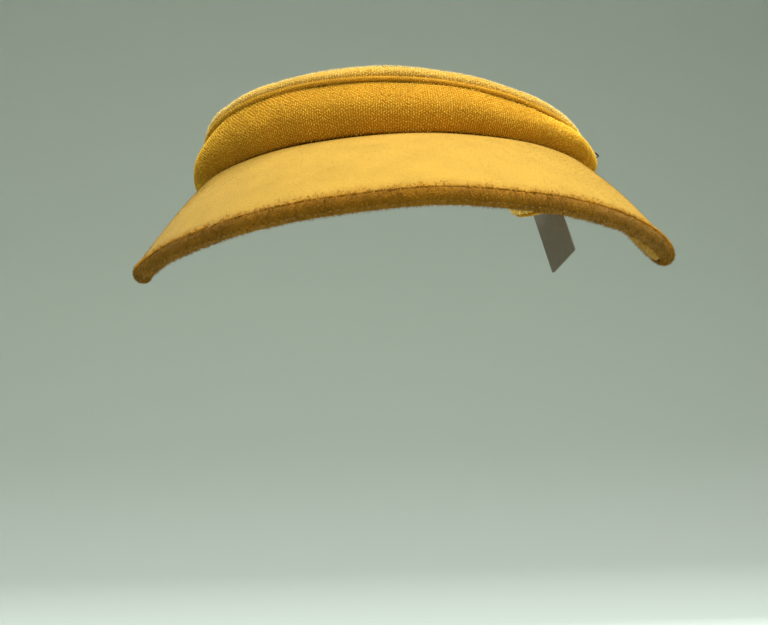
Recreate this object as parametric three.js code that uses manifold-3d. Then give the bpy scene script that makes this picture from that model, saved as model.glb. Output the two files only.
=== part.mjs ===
// Clip-on terry sun visor: a padded, sprung C band with a padded, arched brim.
// Millimetres, +Z up. The wearer looks along -Y and the origin is the middle of the head opening,
// level with the seam where the brim joins the band.
import * as THREE from 'three';
import { mergeVertices } from 'three/addons/utils/BufferGeometryUtils.js';
import Module from 'manifold-3d';

const wasm = await Module();
wasm.setup();

const degrees = Math.PI / 180;
const clearance = 0.3; // gap between neighbouring pieces
const padClearance = 0.8; // gap round the foam of the band, whose faces curve

// Joining seam: the ellipse, seen from above, where the brim meets the band
const seamHalfWidth = 86.5;
const seamHalfLength = 96;
const seamFall = 6.5; // how much lower it would be a quarter of the way round than at the forehead

// How far round the ring each part runs, from the middle of the forehead
const brimEnd = 75 * degrees;
const flexAngle = 84 * degrees;
const armEnd = 128 * degrees;
const flexGap = 3; // slot between the front and an arm, which lets the arm turn
const flexInset = 3; // the turning line lies this far inside the joining seam

// Band section, as heights above the joining seam and distances outside it
const padHeight = 20.9; // up to the piping groove, at the forehead
const padFall = 13.5; // how much lower the groove is on the arms
const levelAngle = 120 * degrees; // from here on the groove falls no further
const padInset = 1.2; // the groove lies this far inside the joining seam
const frontBulge = 4.6;
const armDepth = 11; // the arms reach this far below the joining seam
const armTuck = 9; // and their lower edge lies this far inside it
const armBulge = 8.6;
const innerInset = 12.5; // head side, at the joining seam
const innerLean = 0.06; // the head side leans in by this much for each mm of height
const liningDepth = 8; // the lining reaches this far below the joining seam at the forehead
const coverThickness = 1.5;
const liningThickness = 1.5;
const springThickness = 0.8;
const springHeight = 12;
const foamEdge = 3; // the foam starts this far above the lower edge of the cover
const armTaper = 22 * degrees; // stretch over which an arm rounds off at its end
const armTipHeight = 12;

// Roll along the top edge, and the piping in the groove below it
const rollHalfWidth = 5.6;
const rollHalfHeight = 3.15;
const rollInset = 7.2;
const pipingRadius = 1;

// Brim
const brimReach = 69; // from the joining seam to the front edge
const brimOverhang = 30; // beyond the joining seam's half width, at the temples
const brimCentre = 11; // its outline is an oval centred this far in front of the origin
const brimSweep = 84 * degrees; // how far round that oval it runs to each side
const brimPower = 1.85; // 2 is an ellipse, and less is more pointed
const brimDrop = 33.6; // fall of the front edge below the joining seam at the forehead
const brimArch = 14; // extra fall at the temples
const brimCrown = 2.6; // upward swell between the seam and the edge
const brimTongue = 9; // how far the brim is let in under the band
const brimThickness = 7;
const boardThickness = 1.6;
const brimCoverThickness = 1;
const tipStart = 0.8; // share of the half brim after which the tip is rounded off
const tipPower = 2.8;

// Swing tag, on a moulded pin through the wearer's left arm
const tagAngle = 119 * degrees;
const tagPinHeight = -1;
const pinRadius = 0.5;
const barLength = 9;
const barRadius = 0.7;
const paddleSize = 5;
const paddleThickness = 1.2;
const cardStandOff = 3; // from the cover, at the pin
const cardWidth = 21;
const cardLength = 36;
const cardThickness = 0.5;
const cardCorner = 1.5;
const cardHoleInset = 4; // from both edges of its corner
const cardHoleRadius = 1.5;

// Colours and finishes
const finish = (color, roughness, metalness = 0) =>
  new THREE.MeshStandardMaterial({ color, roughness, metalness });
const terry = finish(0xd9981c, 0.95);
const pile = finish(0xf2bd45, 0.9);
const liningTerry = finish(0xdfa12c, 0.95);
const foam = finish(0xe9dfb4, 1);
const board = finish(0xe8e6df, 0.55);
const steel = finish(0x9a9da1, 0.35, 1);
const blackNylon = finish(0x1b1a18, 0.45);
const greyCard = finish(0x75716a, 0.85);

const visor = new THREE.Group();

function addPiece(name, geometry, material) {
  const mesh = new THREE.Mesh(geometry, material);
  mesh.name = name;
  visor.add(mesh);
}

const mix = THREE.MathUtils.lerp;
const ease = (x, from, to) => THREE.MathUtils.smoothstep(x, from, to);

// Moves every corner of a plain closed shape to where place(x, y, z) says
function bend(geometry, place) {
  geometry.deleteAttribute('normal');
  geometry.deleteAttribute('uv');
  const bent = mergeVertices(geometry, 1e-5);
  const corners = bent.getAttribute('position');
  for (let i = 0; i < corners.count; i += 1) {
    const moved = place(corners.getX(i), corners.getY(i), corners.getZ(i));
    corners.setXYZ(i, moved.x, moved.y, moved.z);
  }
  bent.computeVertexNormals();
  return bent;
}

// A unit block: x runs round the ring, y towards the head and z up
function bendBlock(steps, place) {
  const block = new THREE.BoxGeometry(1, 1, 1, steps[0], steps[1], steps[2]);
  block.translate(0.5, 0.5, 0.5);
  return bend(block, place);
}

// A unit rod: x runs round the ring, and y and z are its round section
function bendRod(sides, steps, place) {
  const rod = new THREE.CylinderGeometry(1, 1, 1, sides, steps);
  rod.rotateZ(-Math.PI / 2);
  rod.translate(0.5, 0, 0);
  return bend(rod, place);
}

// ---- Ring ----

// A point at the angle round the ring, a distance outside the joining seam, and a height
function ringPoint(angle, out, z) {
  const normal = ringNormal(angle);
  const x = seamHalfWidth * Math.sin(angle) + normal.x * out;
  const y = -seamHalfLength * Math.cos(angle) + normal.y * out;
  return new THREE.Vector3(x, y, z);
}

function ringNormal(angle) {
  return new THREE.Vector3(
    seamHalfLength * Math.sin(angle),
    -seamHalfWidth * Math.cos(angle),
    0,
  ).normalize();
}

// Half the flex slot, as an angle
const slotAngle = flexGap / 2 / Math.hypot(
  seamHalfWidth * Math.cos(flexAngle),
  seamHalfLength * Math.sin(flexAngle),
);
const spans = {
  front: [-flexAngle + slotAngle, flexAngle - slotAngle],
  arm_right: [-armEnd, -flexAngle - slotAngle],
  arm_left: [flexAngle + slotAngle, armEnd],
};

// ---- Band section ----

const sideways = (angle) => 1 - Math.cos(angle);
const seamHeight = (angle) => -seamFall * sideways(angle);

// 0 along the brim and 1 along an arm, where the pad runs on below the joining seam
const armness = (angle) => ease(Math.abs(angle), brimEnd + 2 * degrees, brimEnd + 17 * degrees);

// 1 on the band, falling to 0 at the end of an arm
function fullness(angle) {
  const past = Math.max(0, (Math.abs(angle) - (armEnd - armTaper)) / armTaper);
  return Math.sqrt(1 - Math.min(1, past) ** 2);
}

const freePadTop = (angle) => padHeight - padFall * ease(Math.abs(angle), 0, levelAngle);
const freePadLow = (angle) => mix(seamHeight(angle) + clearance, -armDepth, armness(angle));
const freeLiningLow = (angle) => mix(
  seamHeight(angle) - liningDepth, 1 - armDepth, armness(angle),
);

// Heights close in on the middle of the arm towards its end
function closeIn(angle, z) {
  const middle = (freePadTop(angle) + freePadLow(angle)) / 2;
  const tip = middle + Math.sign(z - middle) * Math.min(Math.abs(z - middle), armTipHeight / 2);
  return mix(tip, z, fullness(angle));
}

const padTop = (angle) => closeIn(angle, freePadTop(angle));
const padLow = (angle) => closeIn(angle, freePadLow(angle));
const liningLow = (angle) => closeIn(angle, freeLiningLow(angle));

const innerFace = (angle, z) => -innerInset - innerLean * z;
const thinnest = coverThickness + liningThickness + clearance;

// Outer face of the pad: a bulging arc between its lower edge and the piping groove
function outerFace(angle, z) {
  const share = THREE.MathUtils.clamp((z - padLow(angle)) / (padTop(angle) - padLow(angle)), 0, 1);
  const chord = mix(-armTuck * armness(angle), -padInset, share);
  const bulge = mix(frontBulge, armBulge, armness(angle)) * Math.sin(Math.PI * share);
  const inner = innerFace(angle, z);
  return inner + thinnest + fullness(angle) * (chord + bulge - inner - thinnest);
}

// A layer of the band between two faces and two heights
function bandLayer(span, steps, low, high, outer, inner) {
  return bendBlock(steps, (x, y, z) => {
    const angle = mix(span[0], span[1], x);
    const height = mix(low(angle), high(angle), z);
    return ringPoint(angle, mix(outer(angle, height), inner(angle, height), y), height);
  });
}

function bandRod(span, sides, steps, section) {
  return bendRod(sides, steps, (x, y, z) => {
    const angle = mix(span[0], span[1], x);
    const { out, height, halfWidth, halfHeight } = section(angle);
    return ringPoint(angle, out - y * halfWidth, height + z * halfHeight);
  });
}

const coverBack = (angle, z) => outerFace(angle, z) - coverThickness;
const liningFront = (angle, z) => innerFace(angle, z) + liningThickness;
const springBack = (angle, z) => liningFront(angle, z) + clearance;
const springFace = (angle, z) => springBack(angle, z) + springThickness;

// The foam and the spring stop short of the end of an arm, where the cover meets the lining
function shorten(span, by) {
  return span.map((angle) => Math.sign(angle) * Math.min(Math.abs(angle), armEnd - by));
}

const foamEnd = 7 * degrees;
const springEnd = armEnd - tagAngle + 4 * degrees; // the tag pin passes behind the spring's end
const pipingEnd = 13 * degrees;

function addBand(place, span) {
  const around = Math.round((span[1] - span[0]) / (5.2 * degrees));
  const springMiddle = (angle) => (padTop(angle) + padLow(angle)) / 2;
  addPiece(`band_cover_${place}`, bandLayer(
    span, [around, 1, 6], padLow, padTop, outerFace, coverBack,
  ), terry);
  addPiece(`band_foam_${place}`, bandLayer(
    shorten(span, foamEnd), [around, 1, 4],
    (angle) => padLow(angle) + foamEdge,
    padTop,
    (angle, z) => coverBack(angle, z) - padClearance,
    (angle, z) => Math.min(springFace(angle, z) + clearance, coverBack(angle, z) - 2 * padClearance),
  ), foam);
  addPiece(`band_spring_${place}`, bandLayer(
    shorten(span, springEnd), [around, 1, 1],
    (angle) => springMiddle(angle) - springHeight / 2,
    (angle) => springMiddle(angle) + springHeight / 2,
    springFace, springBack,
  ), steel);
  addPiece(`band_lining_${place}`, bandLayer(
    span, [around, 1, 3], liningLow, padTop, liningFront, innerFace,
  ), liningTerry);
  addPiece(`band_roll_${place}`, bandRod(span, 12, around, rollSection), liningTerry);
  addPiece(`band_piping_${place}`, bandRod(
    shorten(span, pipingEnd), 6, around, pipingSection,
  ), terry);
}

// The roll rests on the pad and narrows with it towards the end of an arm
function rollSection(angle) {
  const size = mix(0.42, 1, fullness(angle));
  const halfHeight = rollHalfHeight * size;
  const height = padTop(angle) + 2 * clearance + halfHeight;
  const inner = innerFace(angle, height);
  const out = inner + thinnest / 2 + (-rollInset - inner - thinnest / 2) * fullness(angle);
  return { out, height, halfWidth: rollHalfWidth * size, halfHeight };
}

// The piping lies on the edge of the cover, clear of the roll
function pipingSection(angle) {
  const radius = pipingRadius * mix(0.5, 1, fullness(angle));
  const height = padTop(angle) + clearance + radius;
  const out = outerFace(angle, padTop(angle)) - 0.2 * radius;
  return { out, height, halfWidth: radius, halfHeight: radius };
}

for (const [place, span] of Object.entries(spans)) addBand(place, span);

// ---- Tag ----

function toSolid(geometry) {
  geometry.deleteAttribute('normal');
  geometry.deleteAttribute('uv');
  const merged = mergeVertices(geometry, 1e-5);
  return new wasm.Manifold(new wasm.Mesh({
    numProp: 3,
    vertProperties: new Float32Array(merged.getAttribute('position').array),
    triVerts: new Uint32Array(merged.getIndex().array),
  }));
}

function toGeometry(solid) {
  const mesh = solid.getMesh();
  const geometry = new THREE.BufferGeometry();
  geometry.setAttribute('position', new THREE.BufferAttribute(mesh.vertProperties, 3));
  geometry.setIndex(new THREE.BufferAttribute(mesh.triVerts, 1));
  geometry.computeVertexNormals();
  return geometry;
}

// The tag's own frame: x runs back round the ring, y towards the head and z up, from the pin
const inward = ringNormal(tagAngle).negate();
const tagFrame = new THREE.Matrix4()
  .makeBasis(new THREE.Vector3(0, 0, 1).cross(inward).negate(), inward, new THREE.Vector3(0, 0, 1))
  .setPosition(ringPoint(tagAngle, 0, tagPinHeight));

const coverDepth = -outerFace(tagAngle, tagPinHeight);
const headDepth = -innerFace(tagAngle, tagPinHeight);
const cardDepth = coverDepth - cardStandOff;

function pinRod(radius, from, to) {
  const rod = new THREE.CylinderGeometry(radius, radius, to - from, 10);
  return rod.translate(0, (from + to) / 2, 0);
}

// The pin passes through the cover, the foam and the lining
for (const layer of ['cover', 'foam', 'lining']) {
  const mesh = visor.getObjectByName(`band_${layer}_arm_left`);
  const hole = pinRod(pinRadius + clearance, coverDepth - 3, headDepth + 3).applyMatrix4(tagFrame);
  mesh.geometry = toGeometry(toSolid(mesh.geometry).subtract(toSolid(hole)));
}

function tagPin() {
  const paddleDepth = cardDepth - cardThickness / 2 - clearance - paddleThickness / 2;
  const barDepth = headDepth + clearance + barRadius;
  const bar = new THREE.CylinderGeometry(barRadius, barRadius, barLength, 10);
  bar.rotateX(Math.PI / 2).translate(0, barDepth, 0);
  const paddle = new THREE.BoxGeometry(paddleSize * 0.7, paddleThickness, paddleSize);
  paddle.translate(0, paddleDepth, 0);
  const stem = pinRod(pinRadius, paddleDepth, barDepth);
  return toGeometry(toSolid(stem).add(toSolid(bar)).add(toSolid(paddle)));
}

// A round-cornered card, hung by one corner so that its middle is straight below the pin
function tagCard() {
  const left = -cardHoleInset;
  const top = cardHoleInset;
  const outline = new THREE.Shape();
  const corners = [
    [left, top],
    [left, top - cardLength],
    [left + cardWidth, top - cardLength],
    [left + cardWidth, top],
  ];
  corners.forEach(([x, y], i) => {
    const before = new THREE.Vector2(...corners[(i + 3) % 4]);
    const after = new THREE.Vector2(...corners[(i + 1) % 4]);
    const corner = new THREE.Vector2(x, y);
    const start = corner.clone().add(before.sub(corner).setLength(cardCorner));
    const end = corner.clone().add(after.sub(corner).setLength(cardCorner));
    if (i === 0) outline.moveTo(start.x, start.y);
    else outline.lineTo(start.x, start.y);
    outline.quadraticCurveTo(x, y, end.x, end.y);
  });
  outline.closePath();
  const hole = new THREE.Path().absarc(0, 0, cardHoleRadius, 0, 2 * Math.PI, true);
  outline.holes.push(hole);
  const card = new THREE.ExtrudeGeometry(outline, {
    depth: cardThickness, bevelEnabled: false, curveSegments: 4,
  });
  const hang = Math.atan2(cardWidth / 2 - cardHoleInset, cardLength / 2 - cardHoleInset);
  return card.rotateZ(-hang).rotateX(Math.PI / 2).translate(0, cardDepth + cardThickness / 2, 0);
}

addPiece('tag_pin', tagPin().applyMatrix4(tagFrame), blackNylon);
addPiece('tag_card', tagCard().applyMatrix4(tagFrame), greyCard);

// ---- Brim ----

const outlineLength = seamHalfLength + brimReach - brimCentre;
const brimHalfWidth = seamHalfWidth + brimOverhang;
const brimHalf = brimThickness / 2;

// Front edge of the brim before its tips are rounded, with around from -1 to 1
function freeEdge(around) {
  const turn = around * brimSweep;
  const x = Math.sign(turn) * Math.abs(Math.sin(turn)) ** (2 / brimPower);
  const y = Math.cos(turn) ** (2 / brimPower);
  return new THREE.Vector3(brimHalfWidth * x, -brimCentre - outlineLength * y, 0);
}

// Middle surface of the brim, with along from 0 under the band to 1 at the edge
function brimMiddle(around, along) {
  const angle = around * brimEnd;
  const below = -brimHalf - clearance;
  const root = ringPoint(angle, -brimTongue, seamHeight(angle) + below);
  const seam = ringPoint(angle, 0, seamHeight(angle) + below);
  const past = Math.max(0, (Math.abs(around) - tipStart) / (1 - tipStart));
  const kept = mix(0.04, 1, Math.max(0, 1 - past ** tipPower) ** (1 / tipPower));
  const tongueShare = brimTongue / (brimTongue + brimReach);
  if (along < tongueShare) return root.lerp(seam, along / tongueShare);
  const share = kept * (along - tongueShare) / (1 - tongueShare);
  const drop = brimDrop + brimArch * sideways(around * brimSweep);
  const point = seam.lerp(freeEdge(around).setZ(below - drop), share);
  point.z += brimCrown * Math.sin(Math.PI * share);
  return point;
}

// Point above or below the middle surface; past the edge it turns down round the edge
function brimPoint(around, along, above) {
  const step = 1e-3;
  const onto = Math.min(along, 1);
  const middle = brimMiddle(around, onto);
  const across = brimMiddle(around, onto + step).sub(brimMiddle(around, onto - step));
  const ahead = brimMiddle(around + step, onto).sub(brimMiddle(around - step, onto));
  const normal = across.clone().cross(ahead).normalize();
  if (normal.z < 0) normal.negate();
  if (along <= 1) return middle.addScaledVector(normal, above);
  const outward = ahead.cross(normal).normalize();
  const turn = (along - 1) * Math.PI;
  return middle
    .addScaledVector(normal, above * Math.cos(turn))
    .addScaledVector(outward, above * Math.sin(turn));
}

// Steps close up towards the tips, where the outline turns
const aroundAt = (x) => Math.sin(Math.PI * (x - 0.5));

function brimLayer(steps, edge, low, high) {
  return bendBlock(steps, (x, y, z) => brimPoint(
    aroundAt(x) * edge.side, mix(edge.along, 0, y), mix(low, high, z),
  ));
}

const coverInside = brimHalf - brimCoverThickness;
const insideEdge = { side: 0.985, along: 0.985 };
addPiece('brim_board', brimLayer(
  [36, 5, 1], insideEdge, -boardThickness / 2, boardThickness / 2,
), board);
addPiece('brim_foam_top', brimLayer(
  [36, 5, 1], insideEdge, boardThickness / 2 + clearance, coverInside - clearance,
), foam);
addPiece('brim_foam_under', brimLayer(
  [36, 5, 1], insideEdge, clearance - coverInside, -boardThickness / 2 - clearance,
), foam);
addPiece('brim_under_cover', brimLayer(
  [36, 5, 1], { side: 0.985, along: 0.99 }, -brimHalf, -coverInside,
), pile);

// The top cover folds round the edge, so its steps past the edge are short
const foldSteps = 4;
const flatSteps = 5;
function coverAlong(y) {
  const step = (1 - y) * (foldSteps + flatSteps);
  if (step <= flatSteps) return step / flatSteps;
  return 1 + 0.86 * (step - flatSteps) / foldSteps;
}
addPiece('brim_top_cover', bendBlock([36, foldSteps + flatSteps, 1], (x, y, z) => brimPoint(
  aroundAt(x), coverAlong(y), mix(coverInside, brimHalf, z),
)), pile);

export default visor;
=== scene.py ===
# Looks of a clip-on terry sun visor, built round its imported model
import math
import random

import bmesh
import bpy
from mathutils import Matrix, Vector, noise


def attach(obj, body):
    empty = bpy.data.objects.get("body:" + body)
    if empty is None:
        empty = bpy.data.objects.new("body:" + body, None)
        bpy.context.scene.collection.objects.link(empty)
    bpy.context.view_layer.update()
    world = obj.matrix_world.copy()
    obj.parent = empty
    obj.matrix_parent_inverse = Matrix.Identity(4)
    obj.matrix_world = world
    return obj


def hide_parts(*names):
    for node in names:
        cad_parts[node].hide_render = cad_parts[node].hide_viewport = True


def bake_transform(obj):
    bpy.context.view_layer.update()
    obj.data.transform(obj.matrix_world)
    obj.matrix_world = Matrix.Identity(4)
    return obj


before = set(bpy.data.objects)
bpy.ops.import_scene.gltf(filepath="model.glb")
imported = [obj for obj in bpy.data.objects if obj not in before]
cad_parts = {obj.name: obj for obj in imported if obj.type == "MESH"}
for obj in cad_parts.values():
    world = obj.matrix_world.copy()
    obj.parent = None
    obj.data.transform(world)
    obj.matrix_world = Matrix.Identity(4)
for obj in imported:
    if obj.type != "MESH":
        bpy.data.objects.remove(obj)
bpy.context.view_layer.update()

mm = 0.001
degree = math.pi / 180
noise.seed_set(7)  # without a seed the noise changes with the time of day

# The oval seam where the brim meets the band, in mm, and how far round it each part runs, in degrees
ring = {
    "halfWidth": 86.5,
    "halfLength": 96,
    "fall": 6.5,
    "brimEnd": 75,
    "armEnd": 128,
    "armTaper": 22,
    "armRound": 3.5,
    "armFrom": 2,  # past the brim's end, where the band starts to take an arm's section
    "armBy": 17,
    "flexFrom": 76,  # an arm leaves the front between these two places
    "flexTo": 93,
}

# Section of the band, as heights above the seam and distances outside it
band = {
    "height": 20.9,
    "fall": 13.5,
    "levelFrom": 120,
    "inset": 1.2,
    "bulge": 4.6,
    "armDepth": 11,
    "armTuck": 9,
    "armBulge": 8.6,
    "innerInset": 12.5,
    "innerLean": 0.06,
    "liningDepth": 8,
    "cloth": 1.5,
    "tipHeight": 12,
    "tipFlat": 0.08,  # shares of its height and thickness that are left at the end of an arm
    "tipThin": 0.12,
    "gap": 0.3,
    "padGap": 0.8,
}

brim = {
    "reach": 69,
    "overhang": 30,
    "centre": 11,
    "power": 1.85,
    "sweep": 84,
    "drop": 35.4,
    "arch": 12.2,
    "crown": 2.6,
    "tongue": 9,
    "thickness": 7,
    "board": 1.6,
    "cloth": 1,
    "tipStart": 0.8,
    "tipPower": 2.8,
    "tipReach": 0.04,  # shares of its reach and thickness that are left at a tip
    "tipThin": 0.25,
    "thinFrom": 0.975,
    "fold": 1.86,  # the top cover folds round the edge to here; 1 is the edge and 2 is all the way back
}

# As worn it sits a little askew, by these heights at its sides, in mm
askew = {
    "bandTop": -5.5,
    "seam": 0.8,
    "brimEdge": 2,
    "seamLevel": -4,  # the band turns from the seam's tilt to its top's between these two heights
    "topLevel": 20,
}

# Unevenness of hand-filled padding: how long its lumps are and how much they move the cloth, in mm
lumps = {
    "cover": (26, 0.7),
    "lining": (24, 0.5),
    "roll": (20, 0.6),
    "brimTop": (34, 0.5),
    "brimUnder": (34, 0.3),
}

brimEnd = ring["brimEnd"] * degree
armEnd = ring["armEnd"] * degree
armTaper = ring["armTaper"] * degree
armRound = ring["armRound"] * degree


# Camera

viewpoint = {
    "lens": 82.5,
    "turn": 0.061,
    "lookDown": 0.122,
    "roll": -0.026,
    "originSeenAt": (5.1, 800, 60.4),  # mm right, ahead and up from the camera
}


def addCamera():
    camera = bpy.data.objects.new("camera", bpy.data.cameras.new("camera"))
    camera.data.lens = viewpoint["lens"]
    camera.data.sensor_width = 36
    camera.data.clip_start = 0.05
    turned = (
        Matrix.Rotation(viewpoint["roll"], 4, "Y")
        @ Matrix.Rotation(-viewpoint["lookDown"], 4, "X")
        @ Matrix.Rotation(viewpoint["turn"], 4, "Z")
    )
    seen = Matrix.Translation(Vector(viewpoint["originSeenAt"]) * mm) @ turned
    camera.matrix_world = seen.inverted() @ Matrix.Rotation(math.pi / 2, 4, "X")
    bpy.context.scene.collection.objects.link(camera)
    bpy.context.scene.camera = camera


addCamera()
print("camera placed")


# Shapes: heights and distances in mm, points in metres

def mix(a, b, share):
    return a + (b - a) * share


def ease(x, start, end):
    share = min(1, max(0, (x - start) / (end - start)))
    return share * share * (3 - 2 * share)


def ringPoint(angle, out, height):
    x = ring["halfWidth"] * math.sin(angle)
    y = -ring["halfLength"] * math.cos(angle)
    normal = Vector((x / ring["halfWidth"] ** 2, y / ring["halfLength"] ** 2, 0)).normalized()
    return Vector((x + normal.x * out, y + normal.y * out, height)) * mm


# As ringPoint, on the band as it is worn, with the ends of its arms rounded over
def bandPoint(angle, out, height):
    past = max(0, (abs(angle) - armEnd) / armRound + 1)
    if past > 0:
        kept = math.sqrt(1 - min(1, past) ** 2)
        height = mix((padTop(angle) + padLow(angle)) / 2, height, mix(band["tipFlat"], 1, kept))
        out = mix(innerFace(height) + band["cloth"], out, mix(band["tipThin"], 1, kept))
    upTheBand = ease(height, askew["seamLevel"], askew["topLevel"])
    raised = mix(askew["seam"], askew["bandTop"], upTheBand) * math.sin(angle)
    return ringPoint(angle, out, height + raised)


# 0 on the front of the band and 1 on its arms
def armness(angle):
    return ease(abs(angle), brimEnd + ring["armFrom"] * degree, brimEnd + ring["armBy"] * degree)


# Share of the full section that is left at this angle, as an arm narrows to its end
def fullness(angle):
    past = max(0, (abs(angle) - (armEnd - armTaper)) / armTaper)
    return math.sqrt(1 - min(1, past) ** 2)


# Heights close in on the middle of the arm towards its end
def closeIn(angle, height):
    middle = (freePadTop(angle) + freePadLow(angle)) / 2
    half = band["tipHeight"] / 2
    tip = middle + min(half, max(-half, height - middle))
    return mix(tip, height, fullness(angle))


def seamHeight(angle):
    return -ring["fall"] * (1 - math.cos(angle))


def freePadTop(angle):
    return band["height"] - band["fall"] * ease(abs(angle), 0, band["levelFrom"] * degree)


def freePadLow(angle):
    return mix(seamHeight(angle) + band["gap"], -band["armDepth"], armness(angle))


def padTop(angle):
    return closeIn(angle, freePadTop(angle))


def padLow(angle):
    return closeIn(angle, freePadLow(angle))


def liningLow(angle):
    low = mix(seamHeight(angle) - band["liningDepth"], 1 - band["armDepth"], armness(angle))
    return closeIn(angle, low)


def innerFace(height):
    return -band["innerInset"] - band["innerLean"] * height


# Bulging outer face of the pad
def outerFace(angle, height):
    low = padLow(angle)
    share = min(1, max(0, (height - low) / (padTop(angle) - low)))
    chord = mix(-band["armTuck"] * armness(angle), -band["inset"], share)
    bulge = mix(band["bulge"], band["armBulge"], armness(angle)) * math.sin(math.pi * share)
    thinnest = innerFace(height) + 2 * band["cloth"] + band["gap"]
    return thinnest + fullness(angle) * (chord + bulge - thinnest)


# Front edge of the brim before its tips are rounded, with around from -1 to 1
def freeEdge(around):
    turn = around * brim["sweep"] * degree
    power = 2 / brim["power"]
    halfWidth = ring["halfWidth"] + brim["overhang"]
    length = ring["halfLength"] + brim["reach"] - brim["centre"]
    x = math.copysign(abs(math.sin(turn)) ** power, turn)
    y = math.cos(turn) ** power
    return Vector((halfWidth * x, -brim["centre"] - length * y, 0)) * mm


# Middle surface of the brim, with along from 0 under the band to 1 at the edge
def brimMiddle(around, along):
    around = min(1, max(-1, around))
    side = math.sin(around * brimEnd)
    below = -brim["thickness"] / 2 - band["gap"]
    low = seamHeight(around * brimEnd) + below + askew["seam"] * side
    root = ringPoint(around * brimEnd, -brim["tongue"], low)
    seam = ringPoint(around * brimEnd, 0, low)
    tongue = brim["tongue"] / (brim["tongue"] + brim["reach"])
    if along < tongue:
        return root.lerp(seam, along / tongue)
    past = max(0, (abs(around) - brim["tipStart"]) / (1 - brim["tipStart"]))
    kept = mix(brim["tipReach"], 1, max(0, 1 - past ** brim["tipPower"]) ** (1 / brim["tipPower"]))
    share = kept * (along - tongue) / (1 - tongue)
    drop = brim["drop"] + brim["arch"] * (1 - math.cos(around * brim["sweep"] * degree))
    edge = freeEdge(around)
    edge.z = (below - drop + askew["brimEdge"] * side) * mm
    point = seam.lerp(edge, share)
    point.z += brim["crown"] * math.sin(math.pi * share) * mm
    return point


# Point above or below the middle surface; past the edge it turns down round the edge
def brimPoint(around, along, above):
    step = 1e-3
    around = min(1 - step, max(step - 1, around))
    onto = min(along, 1)
    middle = brimMiddle(around, onto)
    across = brimMiddle(around, onto + step) - brimMiddle(around, onto - step)
    ahead = brimMiddle(around + step, onto) - brimMiddle(around - step, onto)
    normal = across.cross(ahead).normalized()
    if normal.z < 0:
        normal.negate()
    above *= mm * mix(brim["tipThin"], 1, math.sqrt(1 - ease(abs(around), brim["thinFrom"], 1) ** 2))
    if along <= 1:
        return middle + normal * above
    outward = ahead.cross(normal).normalized()
    turn = (along - 1) * math.pi
    return middle + normal * above * math.cos(turn) + outward * above * math.sin(turn)


def uneven(point, piece, share=1):
    size, amount = lumps[piece]
    return point + noise.noise_vector(point / (size * mm)) * amount * share * mm


# Mesh making

# Smooth all over, or only across the edges that turn by less than the given angle
def finishMesh(bm, name, material, crease=None):
    mesh = bpy.data.meshes.new(name)
    bm.to_mesh(mesh)
    bm.free()
    mesh.polygons.foreach_set("use_smooth", [True] * len(mesh.polygons))
    if crease:
        mesh.set_sharp_from_angle(angle=crease)
    piece = bpy.data.objects.new(name, mesh)
    bpy.context.scene.collection.objects.link(piece)
    piece.data.materials.append(material)
    return piece


# A sheet with thickness behind its face; place(u, v) gives its face, with u and v from 0 to 1
def bentSheet(columns, rows, place, thickness):
    bm = bmesh.new()
    bm.loops.layers.uv.new("cloth")
    bmesh.ops.create_grid(bm, x_segments=columns, y_segments=rows, size=0.5, calc_uvs=True)
    for vert in bm.verts:
        vert.co = place(vert.co.x + 0.5, vert.co.y + 0.5)
    bm.normal_update()
    made = bmesh.ops.extrude_face_region(bm, geom=bm.faces[:], use_keep_orig=True)
    for vert in made["geom"]:
        if isinstance(vert, bmesh.types.BMVert):
            vert.co -= vert.normal * thickness * mm
    bmesh.ops.recalc_face_normals(bm, faces=bm.faces)
    return bm


# A closed tube; place(u, turn) gives its skin, with u from 0 to 1 along it and turn round its section
def bentTube(sides, rings, place):
    bm = bmesh.new()
    bmesh.ops.create_cone(bm, cap_ends=True, segments=sides, radius1=1, radius2=1, depth=1)
    lengthways = [edge for edge in bm.edges if abs(edge.verts[0].co.z - edge.verts[1].co.z) > 0.5]
    bmesh.ops.subdivide_edges(bm, edges=lengthways, cuts=rings - 1, use_grid_fill=True)
    for vert in bm.verts:
        vert.co = place(vert.co.z + 0.5, math.atan2(vert.co.y, vert.co.x))
    caps = [face for face in bm.faces if len(face.verts) > 4]
    bmesh.ops.poke(bm, faces=caps)
    bmesh.ops.recalc_face_normals(bm, faces=bm.faces)
    return bm


# Turns and places a small thing on a surface: x across, y up the cloth and z out of it
def standOn(place, u, v):
    step = 2e-3
    point = place(u, v)
    across = (place(u + step, v) - place(u - step, v)).normalized()
    up = (place(u, v + step) - place(u, v - step)).normalized()
    out = across.cross(up).normalized()
    up = out.cross(across)
    stand = Matrix((across, up, out)).transposed().to_4x4()
    stand.translation = point
    return stand


# One piece made of many copies of a small mesh, each with its own tone from 0 to 1
def strew(name, seedling, spots, material):
    corners = [number for vert in seedling.vertices for number in vert.co]
    tones = seedling.attributes.get("tone") or seedling.attributes.new("tone", "FLOAT", "POINT")
    bm = bmesh.new()
    for spot, tone in spots:
        seedling.vertices.foreach_set("co", corners)
        tones.data.foreach_set("value", [tone] * len(seedling.vertices))
        seedling.transform(spot)
        bm.from_mesh(seedling)
    seedling.vertices.foreach_set("co", corners)
    return finishMesh(bm, name, material)


# Materials

def linear(hexColour):
    channels = [int(hexColour[i:i + 2], 16) / 255 for i in (1, 3, 5)]
    return [c / 12.92 if c < 0.04045 else ((c + 0.055) / 1.055) ** 2.4 for c in channels] + [1]


# Adds a node, with its settings, and with a link or a value for each of its sockets
def addNode(tree, kind, sockets, **settings):
    node = tree.nodes.new(kind)
    for name, value in settings.items():
        setattr(node, name, value)
    for name, value in sockets.items():
        if isinstance(value, bpy.types.NodeSocket):
            tree.links.new(value, node.inputs[name])
        else:
            node.inputs[name].default_value = value
    return node


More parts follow.
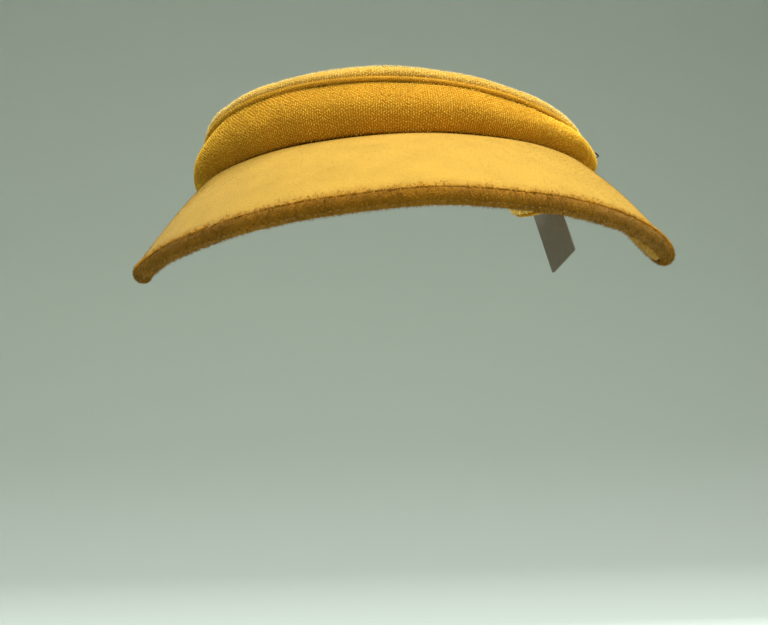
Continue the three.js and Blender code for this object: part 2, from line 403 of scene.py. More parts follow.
def startMaterial(name, **shaderSockets):
    material = bpy.data.materials.new(name)
    material.use_nodes = True
    shader = material.node_tree.nodes["Principled BSDF"]
    for socket, value in shaderSockets.items():
        shader.inputs[socket.replace("_", " ")].default_value = value
    return material, material.node_tree, shader


lint = {"apart": 15, "halfWidth": 0.375, "blur": 0.3}  # mm
# Ragged line past which the folded velour is darkened: partly wear, partly painted shade of the fold
edgeWearAndShade = {"patch": 5, "patchShare": 0.05, "grainShare": 0.04}  # mm, and shares of the cover's width


# A few specks of lint
def addLint(tree, dyed, place, colour):
    cells = addNode(tree, "ShaderNodeTexVoronoi", {"Vector": place, "Scale": 1 / (lint["apart"] * mm)})
    speck = addNode(tree, "ShaderNodeMapRange", {
        "Value": cells.outputs["Distance"], "From Min": lint["halfWidth"] / lint["apart"],
        "From Max": (lint["halfWidth"] + lint["blur"]) / lint["apart"],
    })
    return addNode(tree, "ShaderNodeMix", {
        "Factor": speck.outputs["Result"], "A": linear(colour), "B": dyed,
    }, data_type="RGBA").outputs["Result"]


# Darkens the cloth where it folds round the edge, past a ragged line across its own UV map: partly wear, and
# partly painted shade where the fold faces down, away from the light
def wornAndShadedEdge(tree, dyed, grain, patches, place, recipe):
    across = addNode(tree, "ShaderNodeUVMap", {}, uv_map="cloth").outputs["UV"]
    height = addNode(tree, "ShaderNodeSeparateXYZ", {"Vector": across}).outputs["Y"]
    grainyLine = addNode(tree, "ShaderNodeMath", {
        0: grain.outputs["Fac"], 1: edgeWearAndShade["grainShare"], 2: height,
    }, operation="MULTIPLY_ADD")
    wearAndShadePatches = addNode(tree, "ShaderNodeTexNoise", {
        "Vector": place, "Scale": 1 / (edgeWearAndShade["patch"] * mm), "Detail": 2,
    })
    ragged = addNode(tree, "ShaderNodeMath", {
        0: wearAndShadePatches.outputs["Fac"], 1: edgeWearAndShade["patchShare"], 2: grainyLine.outputs["Value"],
    }, operation="MULTIPLY_ADD")
    cleanAndLit = addNode(tree, "ShaderNodeMapRange", {
        "Value": ragged.outputs["Value"], "From Min": recipe["shadeAndWearFrom"], "From Max": recipe["shadeAndWearTo"],
    }, interpolation_type="SMOOTHSTEP")
    soiledAndShaded = addNode(tree, "ShaderNodeMix", {
        "Factor": patches.outputs["Fac"], "A": linear(recipe["shadeAndWearDeep"]), "B": linear(recipe["shadeAndWearPale"]),
    }, data_type="RGBA")
    return addNode(tree, "ShaderNodeMix", {
        "Factor": cleanAndLit.outputs["Result"], "A": soiledAndShaded.outputs["Result"], "B": dyed,
    }, data_type="RGBA").outputs["Result"]


# Dyed cotton: each tuft has its own tone, between the deep and the pale colour; sizes are in mm
def dyedCotton(name, recipe):
    material, tree, shader = startMaterial(
        name, Roughness=recipe["roughness"], Sheen_Weight=recipe["sheen"], Sheen_Roughness=0.45,
        Sheen_Tint=linear(recipe["sheenTint"]), IOR=1.45, Specular_IOR_Level=0.2,
    )
    place = addNode(tree, "ShaderNodeTexCoord", {}).outputs["Object"]
    patches = addNode(tree, "ShaderNodeTexNoise", {
        "Vector": place, "Scale": 1 / (recipe["patchSize"] * mm), "Detail": 3,
    })
    grain = addNode(tree, "ShaderNodeTexNoise", {
        "Vector": place, "Scale": 1 / (recipe["grain"] * mm), "Detail": 2,
    })
    tone = addNode(tree, "ShaderNodeAttribute", {}, attribute_name="tone").outputs["Fac"]
    if not recipe["tufts"]:
        tone = grain.outputs["Fac"]
    dyed = addNode(tree, "ShaderNodeMix", {
        "Factor": tone, "A": linear(recipe["deep"]), "B": linear(recipe["pale"]),
    }, data_type="RGBA").outputs["Result"]
    if "shadeAndWearFrom" in recipe:
        dyed = wornAndShadedEdge(tree, dyed, grain, patches, place, recipe)
    if "lint" in recipe:
        dyed = addLint(tree, dyed, place, recipe["lint"])
    unevenDye = addNode(tree, "ShaderNodeMapRange", {
        "Value": patches.outputs["Fac"], "From Min": 0.3, "From Max": 0.7,
        "To Min": 1 - recipe["patchiness"], "To Max": 1 + recipe["patchiness"],
    })
    colour = addNode(tree, "ShaderNodeVectorMath", {
        0: dyed, "Scale": unevenDye.outputs["Result"],
    }, operation="SCALE")
    bump = addNode(tree, "ShaderNodeBump", {
        "Height": grain.outputs["Fac"], "Strength": recipe["bump"], "Distance": recipe["grain"] * 0.4 * mm,
    })
    tree.links.new(colour.outputs["Vector"], shader.inputs["Base Color"])
    tree.links.new(bump.outputs["Normal"], shader.inputs["Normal"])
    return material


# Terry towelling, knitted and left looped: rough; its ground is painted darker than the loop yarn, as
# painted shade in the gaps between the loops
terryGround = dyedCotton("terry_knit_ground", {
    "deep": "#bb831a", "pale": "#d29e2a", "roughness": 0.95, "sheen": 0.1, "sheenTint": "#f0c060",
    "patchSize": 22, "patchiness": 0.08, "grain": 0.8, "bump": 0.6, "tufts": False,
})
terryLoops = dyedCotton("terry_loop_yarn", {
    "deep": "#e3ac28", "pale": "#f9d24a", "roughness": 1.0, "sheen": 0.1, "sheenTint": "#ffe6a0",
    "patchSize": 22, "patchiness": 0.08, "grain": 0.25, "bump": 0.5, "tufts": True,
})

# The lining is the same towelling in paler colours, and fuzzier along the lip; its ground is painted darker
# than its loops, as painted shade in the gaps between them
liningGround = dyedCotton("terry_lining_ground", {
    "deep": "#cf9e2e", "pale": "#e6bf54", "roughness": 0.95, "sheen": 0.2, "sheenTint": "#fff0c0",
    "patchSize": 18, "patchiness": 0.08, "grain": 0.8, "bump": 0.6, "tufts": False,
})
liningLoop = dyedCotton("terry_lining_yarn", {
    "deep": "#efc650", "pale": "#ffea94", "roughness": 1.0, "sheen": 0.25, "sheenTint": "#fff0c0",
    "patchSize": 18, "patchiness": 0.08, "grain": 0.25, "bump": 0.5, "tufts": True,
})

# Velour, knitted and then sheared and brushed: even and pale, and dark where it folds round the edge, partly
# from wear and partly as painted shade of the down-facing fold
velourGround = dyedCotton("brushed_velour_ground", {
    "deep": "#b68b2c", "pale": "#c6a140", "roughness": 0.95, "sheen": 0.3, "sheenTint": "#ffe9a8",
    "patchSize": 16, "patchiness": 0.06, "grain": 0.7, "bump": 0.8, "tufts": False,
    # The fold colours below are partly wear and partly painted shade
    "shadeAndWearFrom": 0.475, "shadeAndWearTo": 0.568, "shadeAndWearDeep": "#7e5206", "shadeAndWearPale": "#a87414", "lint": "#a8741c",
})
velourPile = dyedCotton("brushed_velour_pile", {
    "deep": "#b78e30", "pale": "#c49f3e", "roughness": 1.0, "sheen": 0.2, "sheenTint": "#ffe9a8",
    "patchSize": 16, "patchiness": 0.06, "grain": 0.25, "bump": 0.2, "tufts": True, "lint": "#a8741c",
})
# Dark pile for the fold and the crest tufts: partly wear, and partly painted shade of their shaded sides and
# of the fold
wornAndShadedPile = dyedCotton("worn_and_shaded_velour_pile", {
    "deep": "#744c04", "pale": "#c8921c", "roughness": 0.95, "sheen": 0.1, "sheenTint": "#e8c070",
    "patchSize": 9, "patchiness": 0.25, "grain": 0.25, "bump": 0.3, "tufts": True,
})
underVelour = dyedCotton("brushed_velour_under", {
    "deep": "#c08e2a", "pale": "#cc9d38", "roughness": 0.95, "sheen": 0.2, "sheenTint": "#ffe9a8",
    "patchSize": 30, "patchiness": 0.05, "grain": 0.6, "bump": 0.5, "tufts": False,
})

# Polyester sewing thread, twisted: smoother and a little paler than the edge it lies on, and dark like it,
# partly soiled and partly painted shade
thread = dyedCotton("spun_polyester_thread", {
    "deep": "#8a6322", "pale": "#ad8640", "roughness": 0.85, "sheen": 0.2, "sheenTint": "#ffffff",
    "patchSize": 10, "patchiness": 0.05, "grain": 0.2, "bump": 0.6, "tufts": False,
})


# Open-cell polyurethane foam, cut from a block: chalky, with pinholes
def foamMaterial():
    material, tree, shader = startMaterial("polyurethane_foam_cut", Roughness=1.0, IOR=1.5)
    place = addNode(tree, "ShaderNodeTexCoord", {}).outputs["Object"]
    cells = addNode(tree, "ShaderNodeTexVoronoi", {"Vector": place, "Scale": 1 / (1.1 * mm)})
    colour = addNode(tree, "ShaderNodeMix", {
        "Factor": cells.outputs["Distance"], "A": linear("#b9a878"), "B": linear("#efe5bd"),
    }, data_type="RGBA")
    bump = addNode(tree, "ShaderNodeBump", {
        "Height": cells.outputs["Distance"], "Strength": 0.6, "Distance": 0.4 * mm,
    })
    tree.links.new(colour.outputs["Result"], shader.inputs["Base Color"])
    tree.links.new(bump.outputs["Normal"], shader.inputs["Normal"])
    return material


# Spring steel strip, rolled: fine lines along it and a dull shine
def steelMaterial():
    material, tree, shader = startMaterial("spring_steel_rolled", Metallic=1.0, Anisotropic=0.5)
    place = addNode(tree, "ShaderNodeTexCoord", {}).outputs["Object"]
    along, across = 1 / (33.3 * mm), 1 / (0.25 * mm)
    drawn = addNode(tree, "ShaderNodeMapping", {"Vector": place, "Scale": (along, along, across)})
    lines = addNode(tree, "ShaderNodeTexNoise", {"Vector": drawn.outputs["Vector"], "Scale": 1, "Detail": 3})
    colour = addNode(tree, "ShaderNodeMix", {
        "Factor": lines.outputs["Fac"], "A": linear("#85888c"), "B": linear("#b4b7ba"),
    }, data_type="RGBA")
    rough = addNode(tree, "ShaderNodeMapRange", {
        "Value": lines.outputs["Fac"], "To Min": 0.28, "To Max": 0.45,
    })
    tree.links.new(colour.outputs["Result"], shader.inputs["Base Color"])
    tree.links.new(rough.outputs["Result"], shader.inputs["Roughness"])
    return material


# Plastic brim board, rolled sheet: waxy white with a faint grain
def boardMaterial():
    material, tree, shader = startMaterial("polyethylene_board_rolled", Roughness=0.45, IOR=1.51)
    place = addNode(tree, "ShaderNodeTexCoord", {}).outputs["Object"]
    grain = addNode(tree, "ShaderNodeTexNoise", {"Vector": place, "Scale": 1 / (2 * mm), "Detail": 4})
    colour = addNode(tree, "ShaderNodeMix", {
        "Factor": grain.outputs["Fac"], "A": linear("#dcd9d0"), "B": linear("#efede6"),
    }, data_type="RGBA")
    bump = addNode(tree, "ShaderNodeBump", {
        "Height": grain.outputs["Fac"], "Strength": 0.2, "Distance": 0.1 * mm,
    })
    tree.links.new(colour.outputs["Result"], shader.inputs["Base Color"])
    tree.links.new(bump.outputs["Normal"], shader.inputs["Normal"])
    return material


# Nylon tagging pin, moulded: black, with soft highlights and a faint mould grain
def nylonMaterial():
    material, tree, shader = startMaterial("black_nylon_moulded", Roughness=0.38, IOR=1.53)
    place = addNode(tree, "ShaderNodeTexCoord", {}).outputs["Object"]
    grain = addNode(tree, "ShaderNodeTexNoise", {"Vector": place, "Scale": 1 / (0.4 * mm), "Detail": 3})
    colour = addNode(tree, "ShaderNodeMix", {
        "Factor": grain.outputs["Fac"], "A": linear("#12110f"), "B": linear("#25231f"),
    }, data_type="RGBA")
    bump = addNode(tree, "ShaderNodeBump", {
        "Height": grain.outputs["Fac"], "Strength": 0.25, "Distance": 0.05 * mm,
    })
    tree.links.new(colour.outputs["Result"], shader.inputs["Base Color"])
    tree.links.new(bump.outputs["Normal"], shader.inputs["Normal"])
    return material


# Grey board tag, pressed pulp: matt, with flecks and fibres
def cardMaterial():
    material, tree, shader = startMaterial("grey_board_pressed", Roughness=0.85, IOR=1.5)
    place = addNode(tree, "ShaderNodeTexCoord", {}).outputs["Object"]
    flecks = addNode(tree, "ShaderNodeTexNoise", {"Vector": place, "Scale": 1 / (0.7 * mm), "Detail": 5})
    colour = addNode(tree, "ShaderNodeMix", {
        "Factor": flecks.outputs["Fac"], "A": linear("#6d6960"), "B": linear("#9a9488"),
    }, data_type="RGBA")
    bump = addNode(tree, "ShaderNodeBump", {
        "Height": flecks.outputs["Fac"], "Strength": 0.3, "Distance": 0.1 * mm,
    })
    tree.links.new(colour.outputs["Result"], shader.inputs["Base Color"])
    tree.links.new(bump.outputs["Normal"], shader.inputs["Normal"])
    return material


foam = foamMaterial()
steel = steelMaterial()
board = boardMaterial()
nylon = nylonMaterial()
card = cardMaterial()
print("materials mixed")


# Tufts: one small mesh of each kind, copied over the cloth

loop = {"halfWidth": 0.42, "yarnRadius": 0.21, "sides": 4, "steps": 4}  # mm
fibre = {"length": 1, "radius": 0.055}  # thicker than real pile, which would be too fine to show


def terryLoop():
    bm = bmesh.new()
    foot = Matrix.Translation((loop["halfWidth"] * mm, 0, 0))
    bmesh.ops.create_circle(
        bm, cap_ends=True, segments=loop["sides"], radius=loop["yarnRadius"] * mm, matrix=foot,
    )
    bmesh.ops.spin(
        bm, geom=bm.faces[:], cent=(0, 0, 0), axis=(0, -1, 0), angle=math.pi, steps=loop["steps"],
    )
    bmesh.ops.recalc_face_normals(bm, faces=bm.faces)
    mesh = bpy.data.meshes.new("terry_loop_seed")
    bm.to_mesh(mesh)
    mesh.polygons.foreach_set("use_smooth", [True] * len(mesh.polygons))
    return mesh


def pileFibre():
    bm = bmesh.new()
    middle = Matrix.Translation((0, 0, fibre["length"] / 2 * mm))
    bmesh.ops.create_cone(
        bm, cap_ends=True, segments=3, radius1=fibre["radius"] * mm, radius2=0,
        depth=fibre["length"] * mm, matrix=middle,
    )
    bmesh.ops.remove_doubles(bm, verts=bm.verts, dist=1e-7)
    mesh = bpy.data.meshes.new("pile_fibre_seed")
    bm.to_mesh(mesh)
    mesh.polygons.foreach_set("use_smooth", [True] * len(mesh.polygons))
    return mesh


loopSeed = terryLoop()
fibreSeed = pileFibre()


# Loops in knitted columns and rows over part of a surface, each a little out of line
def loopSpots(place, length, recipe, seed):
    pick = random.Random(seed)
    columns = round(length / recipe["column"])
    spots = []
    for column in range(columns):
        for row in range(recipe["rows"]):
            u = (column + 0.5 + pick.uniform(-0.12, 0.12)) / columns
            stagger = 0.5 * (column % 2) + pick.uniform(-0.2, 0.2)
            v = mix(*recipe["span"], (row + 0.25 + stagger) / recipe["rows"])
            turn = Matrix.Rotation(math.pi / 2 + pick.gauss(0, 0.45), 4, "Z")
            tilt = Matrix.Rotation(pick.gauss(recipe["lean"], 14) * degree, 4, "X")
            scale = Matrix.Scale(recipe["size"] * pick.uniform(0.85, 1.2), 4)
            spots.append((standOn(place, u, v) @ tilt @ turn @ scale, pick.random()))
    return spots


# Fibres strewn at random between two rows, lying over along the cloth by their lean in degrees
def fibreSpots(place, count, span, recipe, seed, heading=0):
    pick = random.Random(seed)
    spots = []
    for _ in range(count):
        u = pick.random()
        v = mix(*span, pick.random())
        turn = Matrix.Rotation(heading + pick.gauss(0, 0.6), 4, "Z")
        tilt = Matrix.Rotation(-min(87, pick.gauss(recipe["lean"], 7)) * degree, 4, "X")
        scale = Matrix.Scale(recipe["size"] * pick.uniform(0.7, 1.3), 4)
        spots.append((standOn(place, u, v) @ turn @ tilt @ scale, pick.random()))
    return spots


# Band: a padded front and two padded arms, each of cover, foam, lining, roll and piping

spans = {
    "front": (-brimEnd, brimEnd),
    "arm_right": (-armEnd, -brimEnd),
    "arm_left": (brimEnd, armEnd),
}
bandLook = {
    "turnIn": 0.12,  # share of the cover that is turned in over each edge of the foam
    "turnInGap": 0.2,  # mm, as are the sizes below that say nothing else
    "foamLow": 3,  # the foam stops short of the cover's folds by these heights
    "foamTop": 1,
    "foamBack": 1.4,
    "foamEnd": 7,  # degrees short of the end of an arm
    "rollHalfWidth": 5.6,
    "rollHalfHeight": 3.15,
    "rollInset": 7.2,
    "rollTip": 0.42,  # share of its size that the roll keeps at the end of an arm
    "pipingTip": 0.5,  # and the piping
    "pipingRadius": 1,
    "pipingSink": 0.2,  # share of its radius that lies in the groove
    "pipingEnd": 13,  # degrees short of the end of an arm
}
meshStep = {"front": 1.8, "arm_right": 1, "arm_left": 1}  # mm between the columns of the meshes

# Loops, with the mm between their columns, as on medium towelling, and the rows that they cover
loopLook = {
    "cover": {"column": 1.02, "rows": 22, "span": (0.07, 0.95), "size": 0.88, "lean": 20},
    "lining": {"column": 1.53, "rows": 15, "span": (0, 1), "size": 1.3, "lean": 20},
    "roll": {"column": 1.225, "rows": 17, "span": (0, 0.85), "size": 0.85, "lean": 0},
    "piping": {"column": 0.888, "rows": 4, "span": (0, 0.9), "size": 0.6, "lean": 0},
}

# Stray fibres that stand off the towelling, so many to each mm along the band
fuzzLook = {
    "roll": {"perMm": 34, "size": 1.2, "lean": 35},
    "piping": {"perMm": 6, "size": 0.7, "lean": 35},
    "cover": {"perMm": 7, "size": 1, "lean": 35},
}
fuzzSpan = (0.06, 0.94)


def angleAt(place, u):
    start, end = spans[place]
    return mix(start, end, u)


def arcLength(place):
    start, end = spans[place]
    return (end - start) * (ring["halfWidth"] + ring["halfLength"]) / 2


def coverFace(place):
    turnIn = bandLook["turnIn"]

    def at(u, v):
        angle = angleAt(place, u)
        low, top = padLow(angle), padTop(angle)
        height = mix(low, top, min(1, max(0, (v - turnIn) / (1 - 2 * turnIn))))
        inner = innerFace(height) + band["cloth"] + bandLook["turnInGap"]
        share = min(1, min(v, 1 - v) / turnIn)
        out = mix(inner, outerFace(angle, height), share)
        return uneven(bandPoint(angle, out, height), "cover", share * fullness(angle))

    return at


def liningFace(place):
    def at(u, v):
        angle = angleAt(place, 1 - u)
        height = mix(liningLow(angle), padTop(angle), v)
        return uneven(bandPoint(angle, innerFace(height), height), "lining", fullness(angle))

    return at


def foamFace(place):
    def at(u, turn):
        angle = angleAt(place, u)
        angle = math.copysign(min(abs(angle), armEnd - bandLook["foamEnd"] * degree), angle)
        low, top = padLow(angle) + bandLook["foamLow"], padTop(angle) - bandLook["foamTop"]
        height = mix(low, top, 0.5 + 0.5 * math.sin(turn))
        outer = outerFace(angle, height) - band["cloth"] - band["padGap"]
        inner = min(innerFace(height) + band["cloth"] + bandLook["foamBack"], outer - band["padGap"])
        return bandPoint(angle, mix(inner, outer, 0.5 + 0.5 * math.cos(turn)), height)

    return at


# Roll of lining cloth along the top of the pad, narrowing towards the end of an arm
def rollFace(place):
    def at(u, turn):
        angle = angleAt(place, u)
        full = fullness(angle)
        size = mix(bandLook["rollTip"], 1, full)
        halfHeight = bandLook["rollHalfHeight"] * size
        height = padTop(angle) + 2 * band["gap"] + halfHeight
        middle = innerFace(height) + band["cloth"] + band["gap"] / 2
        out = mix(middle, -bandLook["rollInset"], full)
        out += bandLook["rollHalfWidth"] * size * math.cos(turn)
        return uneven(bandPoint(angle, out, height + halfHeight * math.sin(turn)), "roll")

    return at


def pipingFace(place):
    def at(u, turn):
        angle = angleAt(place, u)
        angle = math.copysign(min(abs(angle), armEnd - bandLook["pipingEnd"] * degree), angle)
        radius = bandLook["pipingRadius"] * mix(bandLook["pipingTip"], 1, fullness(angle))
        height = padTop(angle) + band["gap"] + radius
        out = outerFace(angle, padTop(angle)) - bandLook["pipingSink"] * radius
        return bandPoint(angle, out + radius * math.cos(turn), height + radius * math.sin(turn))

    return at


# Gives a piece that keeps its CAD shape another material
def refinish(node, material):
    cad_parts[node].data.materials.clear()
    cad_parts[node].data.materials.append(material)


# Puts a front piece on the root body and leaves an arm's piece in place, attached to no body; hides the CAD
# pieces that it replaces
def fitToBody(piece, place, slot, *nodes):
    if place == "front":
        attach(piece, "root")
    else:
        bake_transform(piece)
    if nodes:
        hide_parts(*nodes)


# Skin of a tube, which runs from one turn round its section to another
def skinOf(tube, start, end):
    return lambda u, v: tube(u, mix(start, end, v) * math.pi)


def addBand(place):
    length = arcLength(place)
    grid = round(length / meshStep[place])
    seed = 10 * list(spans).index(place)

    cover = finishMesh(
        bentSheet(grid, 30, coverFace(place), band["cloth"]), f"cover_{place}", terryGround, 70 * degree,
    )
    fitToBody(cover, place, "terry", f"band_cover_{place}")

    filling = finishMesh(bentTube(16, grid // 2, foamFace(place)), f"foam_{place}", foam)
    fitToBody(filling, place, "foam", f"band_foam_{place}")

    lining = finishMesh(
        bentSheet(grid, 16, liningFace(place), band["cloth"]), f"lining_{place}", liningGround,
    )
    fitToBody(lining, place, "lining_terry", f"band_lining_{place}")

    roll = finishMesh(
        bentTube(24, grid, rollFace(place)), f"roll_{place}", liningGround, 50 * degree,
    )
    fitToBody(roll, place, "lining_terry", f"band_roll_{place}")

    piping = finishMesh(bentTube(10, grid, pipingFace(place)), f"piping_{place}", terryGround)
    fitToBody(piping, place, "terry", f"band_piping_{place}")

    refinish(f"band_spring_{place}", steel)

    looped = {
        "cover": (coverFace(place), terryLoops, "terry"),
        "lining": (liningFace(place), liningLoop, "lining_terry"),
        "roll": (skinOf(rollFace(place), -0.3, 1.7), liningLoop, "lining_terry"),
        "piping": (skinOf(pipingFace(place), -0.5, 1.1), terryLoops, "terry"),
    }
    for number, (name, (skin, yarn, slot)) in enumerate(looped.items(), 1):
        spots = loopSpots(skin, length, loopLook[name], seed + number)
        loops = strew(f"{name}_loops_{place}", loopSeed, spots, yarn)
        fitToBody(loops, place, slot)


def addFuzz(place):
    length = arcLength(place)
    fuzzy = {
        "roll": (skinOf(rollFace(place), -0.3, 1.7), liningLoop, "lining_terry"),
        "piping": (skinOf(pipingFace(place), 0, 2), terryLoops, "terry"),
        "cover": (coverFace(place), terryLoops, "terry"),
    }
    for number, (name, (skin, yarn, slot)) in enumerate(fuzzy.items()):
        look = fuzzLook[name]
        seed = 60 + 5 * number + list(spans).index(place)
        spots = fibreSpots(skin, round(length * look["perMm"]), fuzzSpan, look, seed)
        fuzz = strew(f"{name}_fuzz_{place}", fibreSeed, spots, yarn)
        fitToBody(fuzz, place, slot)


for place in spans:
    addBand(place)
    addFuzz(place)
    print("band sewn:", place)


# Brim: a board between two foams, in an under cover and a top cover that folds round the edge

halfThick = brim["thickness"] / 2
brimLook = {
    "columns": 220,
    "topRows": 60,
    "underRows": 40,
    "foamColumns": 80,
    "foamRows": 24,
    "foamShare": 0.985,  # the foams stop this far out, short of the covers
    "underEnd": 0.99,
}


# Columns close up towards the tips, where the outline turns
def aroundAt(u):
    return math.sin(math.pi * (min(1, max(0, u)) - 0.5))


def topFace(u, v):
    return uneven(brimPoint(aroundAt(u), brim["fold"] * (1 - v), halfThick), "brimTop")


def underFace(u, v):
    return uneven(brimPoint(aroundAt(u), brimLook["underEnd"] * v, -halfThick), "brimUnder")


def foamLayer(above):
    share = brimLook["foamShare"]
    return lambda u, v: brimPoint(share * aroundAt(u), share * (1 - v), above)


def addBrim():
    coverInside = halfThick - brim["cloth"]
    boardHalf = brim["board"] / 2
    foamDepth = coverInside - boardHalf - 2 * band["gap"]
    top = finishMesh(
        bentSheet(brimLook["columns"], brimLook["topRows"], topFace, brim["cloth"]),
        "top_cover", velourGround,
    )
    under = finishMesh(
        bentSheet(brimLook["columns"], brimLook["underRows"], underFace, brim["cloth"]),
        "under_cover", underVelour,
    )
    columns, rows = brimLook["foamColumns"], brimLook["foamRows"]
    upperFoam = finishMesh(
        bentSheet(columns, rows, foamLayer(coverInside - band["gap"]), foamDepth), "foam_top", foam,
    )
    lowerFoam = finishMesh(
        bentSheet(columns, rows, foamLayer(-boardHalf - band["gap"]), foamDepth), "foam_under", foam,
    )
    for piece in (top, under, upperFoam, lowerFoam):
        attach(piece, "root")
        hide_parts(f"brim_{piece.name}")
    refinish("brim_board", board)


# Pile brushed over the brim, with the length of its fibres against the seed's
pileLook = {
    "top": {"count": 38000, "size": 0.6, "lean": 85},
    "fold": {"count": 14000, "size": 1.4, "lean": 58},
    "under": {"count": 9000, "size": 1.5, "lean": 70},
}
crest = 1 - 1 / brim["fold"]  # row of the top cover where it starts to fold round the edge
atSeam = 1 - 0.13 / brim["fold"]  # row where it goes under the band


def addPile():
    downhill = math.pi
    flatPile = strew("top_pile", fibreSeed, fibreSpots(
        topFace, pileLook["top"]["count"], (crest + 0.015, atSeam), pileLook["top"], 41, downhill,
    ), velourPile)
    # The fold's pile and the crest tufts take the dark pile, which is partly painted shade
    foldPile = strew("edge_pile", fibreSeed, fibreSpots(
        topFace, pileLook["fold"]["count"], (0, crest + 0.014), pileLook["fold"], 42, downhill,
    ), wornAndShadedPile)
    underPile = strew("under_pile", fibreSeed, fibreSpots(
        underFace, pileLook["under"]["count"], (0.1, 0.98), pileLook["under"], 43,
    ), velourPile)
    tufts = strew("edge_tufts", fibreSeed, tuftSpots(), wornAndShadedPile)
    for piece in (flatPile, foldPile, underPile, tufts):
        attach(piece, "root")


tuftLook = {
    "count": 3200,
    "fibres": 3,
    "belowCrest": 0.008,
    "scatter": 0.014,  # rows and columns are shares of the cover
    "fibreScatter": (0.0008, 0.002),
    "height": (0.7, 1.7),  # mm
    "thickness": 1.3,  # against the seed fibre's
    "lean": (34, 18),  # degrees
}


# Tufts that stand up along the crest of the fold, a few fibres to each
def tuftSpots():
    pick = random.Random(44)
    acrossScatter, upScatter = tuftLook["fibreScatter"]
    thick = tuftLook["thickness"]
    spots = []
    for _ in range(tuftLook["count"]):
        u = pick.random()
        v = crest + pick.gauss(-tuftLook["belowCrest"], tuftLook["scatter"])
        heading = pick.gauss(0, 0.7)
        tall = pick.uniform(*tuftLook["height"])
        tone = pick.random()
        for _ in range(tuftLook["fibres"]):
            turn = Matrix.Rotation(heading + pick.gauss(0, 0.4), 4, "Z")
            tilt = Matrix.Rotation(-abs(pick.gauss(*tuftLook["lean"])) * degree, 4, "X")
            stand = standOn(topFace, u + pick.gauss(0, acrossScatter), v + pick.gauss(0, upScatter))
            size = Matrix.Diagonal((thick, thick, tall * pick.uniform(0.7, 1.1), 1))
            spots.append((stand @ turn @ tilt @ size, tone))
    return spots


stitchLook = {
    "length": 1.9,  # mm
    "width": 0.68,
    "height": 0.6,
    "gap": 1.0,
    "along": 1.55,  # as the brim's fold is counted
    "ends": (0.02, 0.98),
    "steps": 4000,  # the edge is walked in so many steps to space the stitches
}


# Stitches that hold the folded edge, one after another along it
def addStitches():
    bm = bmesh.new()
    bmesh.ops.create_icosphere(bm, subdivisions=1, radius=1)
    stretch = Matrix.Diagonal((
        stitchLook["length"] / 2 * mm, stitchLook["width"] / 2 * mm, stitchLook["height"] / 2 * mm, 1,
    ))
    bmesh.ops.transform(bm, matrix=stretch, verts=bm.verts)
    seed = bpy.data.meshes.new("stitch_seed")
    bm.to_mesh(seed)
    bm.free()
    seed.polygons.foreach_set("use_smooth", [True] * len(seed.polygons))
    pick = random.Random(5)
    v = 1 - stitchLook["along"] / brim["fold"]
    spots = []
    travelled = 0
    last = topFace(stitchLook["ends"][0], v)
    for i in range(1, stitchLook["steps"]):
        u = mix(*stitchLook["ends"], i / stitchLook["steps"])
        point = topFace(u, v)
        travelled += (point - last).length
        last = point
        if travelled > (stitchLook["length"] + stitchLook["gap"]) * mm:
            travelled = 0
            slant = Matrix.Rotation(pick.gauss(0.1, 0.12), 4, "Z")
            lift = Matrix.Translation((0, pick.gauss(0, 0.2) * mm, pick.uniform(0, 0.35) * mm))
            size = Matrix.Diagonal((pick.uniform(0.7, 1.15), pick.uniform(0.8, 1.2), 1, 1))
            spots.append((standOn(topFace, u, v) @ lift @ slant @ size, pick.random()))
    stitches = strew("edge_stitches", seed, spots, thread)
    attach(stitches, "root")


addBrim()
print("brim covered")
addPile()
print("pile brushed")
addStitches()
print("edge stitched")


# Tag: the card and the pin keep their shapes

refinish("tag_pin", nylon)
refinish("tag_card", card)

pinEndLook = {
    "place": (0.02, 0.62),  # on the cover of the wearer's left arm
    "proud": 1.7,  # mm from the cloth to the middle of the bar
    "barRadius": 0.45,
    "barHalfLength": 1.4,
    "stemLength": 2.6,
    "stemRadii": (0.3, 0.25),
    "stemMiddle": (0.6, -0.9, -0.9),
    "stemLean": 0.5,
}


# Cut-off end of an older tagging pin, left in the cover where the wearer's left arm starts
def addPinEnd():
    bm = bmesh.new()
    bmesh.ops.create_uvsphere(bm, u_segments=10, v_segments=8, radius=1)
    radius = pinEndLook["barRadius"] * mm
    bar = Matrix.Diagonal((radius, pinEndLook["barHalfLength"] * mm, radius, 1))
    bmesh.ops.transform(bm, matrix=bar, verts=bm.verts)
    middle = Matrix.Translation(Vector(pinEndLook["stemMiddle"]) * mm)
    foot, head = pinEndLook["stemRadii"]
    bmesh.ops.create_cone(
        bm, cap_ends=True, segments=8, radius1=foot * mm, radius2=head * mm,
        depth=pinEndLook["stemLength"] * mm, matrix=middle @ Matrix.Rotation(pinEndLook["stemLean"], 4, "Y"),
    )
    stand = standOn(coverFace("arm_left"), *pinEndLook["place"])
    lift = Matrix.Translation((0, 0, pinEndLook["proud"] * mm))
    bmesh.ops.transform(bm, matrix=stand @ lift, verts=bm.verts)
    pinEnd = finishMesh(bm, "pin_end", nylon)
    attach(pinEnd, "root")


addPinEnd()
print("tag hung")


# Floor, sweep and light

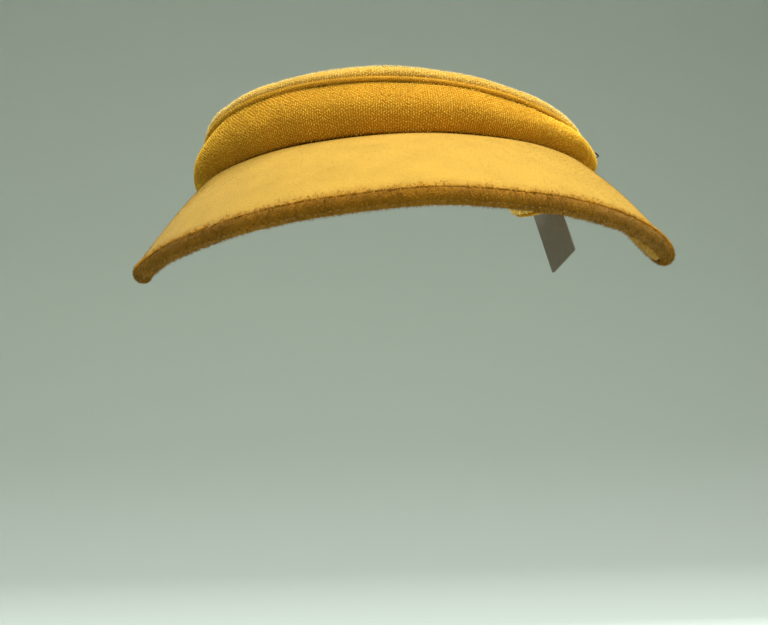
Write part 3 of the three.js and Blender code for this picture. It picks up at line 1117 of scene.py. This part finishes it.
studio = {
    "floor": -300,  # mm below the seam
    "wall": 2120,  # mm behind the middle of the head opening
    "sweep": 300,
    "width": 9000,
    "front": 4000,
    "wallHeight": 3000,
}


def addFloor():
    bm = bmesh.new()
    bmesh.ops.create_grid(bm, x_segments=1, y_segments=40, size=0.5)
    sweep = studio["sweep"]
    flat = studio["front"] + studio["wall"] - sweep
    arc = sweep * math.pi / 2
    total = flat + arc + studio["wallHeight"]
    for vert in bm.verts:
        x = vert.co.x * studio["width"]
        along = (vert.co.y + 0.5) * total
        if along < flat:
            y, z = along - studio["front"], 0
        elif along < flat + arc:
            turn = (along - flat) / sweep
            y = flat - studio["front"] + sweep * math.sin(turn)
            z = sweep * (1 - math.cos(turn))
        else:
            y, z = studio["wall"], sweep + along - flat - arc
        vert.co = Vector((x, y, z + studio["floor"])) * mm
    material, _, shader = startMaterial("painted_sweep", Roughness=0.9)
    shader.inputs["Base Color"].default_value = linear("#c4cdc2")
    floor = finishMesh(bm, "floor", material)


# Soft rectangular light; power in watts, sizes and places in metres, spread in degrees
def addLight(name, power, size, place, towards, colour, spread=180):
    light = bpy.data.lights.new(name, "AREA")
    light.energy = power
    light.shape = "RECTANGLE"
    light.size, light.size_y = size
    light.color = linear(colour)[:3]
    light.spread = spread * degree
    holder = bpy.data.objects.new(name, light)
    holder.location = place
    holder.rotation_mode = "QUATERNION"
    holder.rotation_quaternion = (Vector(towards) - Vector(place)).to_track_quat("-Z", "Y")
    bpy.context.scene.collection.objects.link(holder)


addFloor()
addLight("overhead", 25, (1.2, 0.8), (0.2, -0.38, 0.9), (0, -0.05, 0), "#fffdf8")
addLight("backdrop", 16, (3.4, 0.5), (-0.3, 1.4, 1.0), (-0.3, 1.4, -0.3), "#f8fcff", 75)
world = bpy.data.worlds.new("room")
world.use_nodes = True
world.node_tree.nodes["Background"].inputs["Color"].default_value = linear("#c8d0c8")
world.node_tree.nodes["Background"].inputs["Strength"].default_value = 0.24
bpy.context.scene.world = world
bpy.context.scene.view_settings.view_transform = "Standard"
print("studio lit")
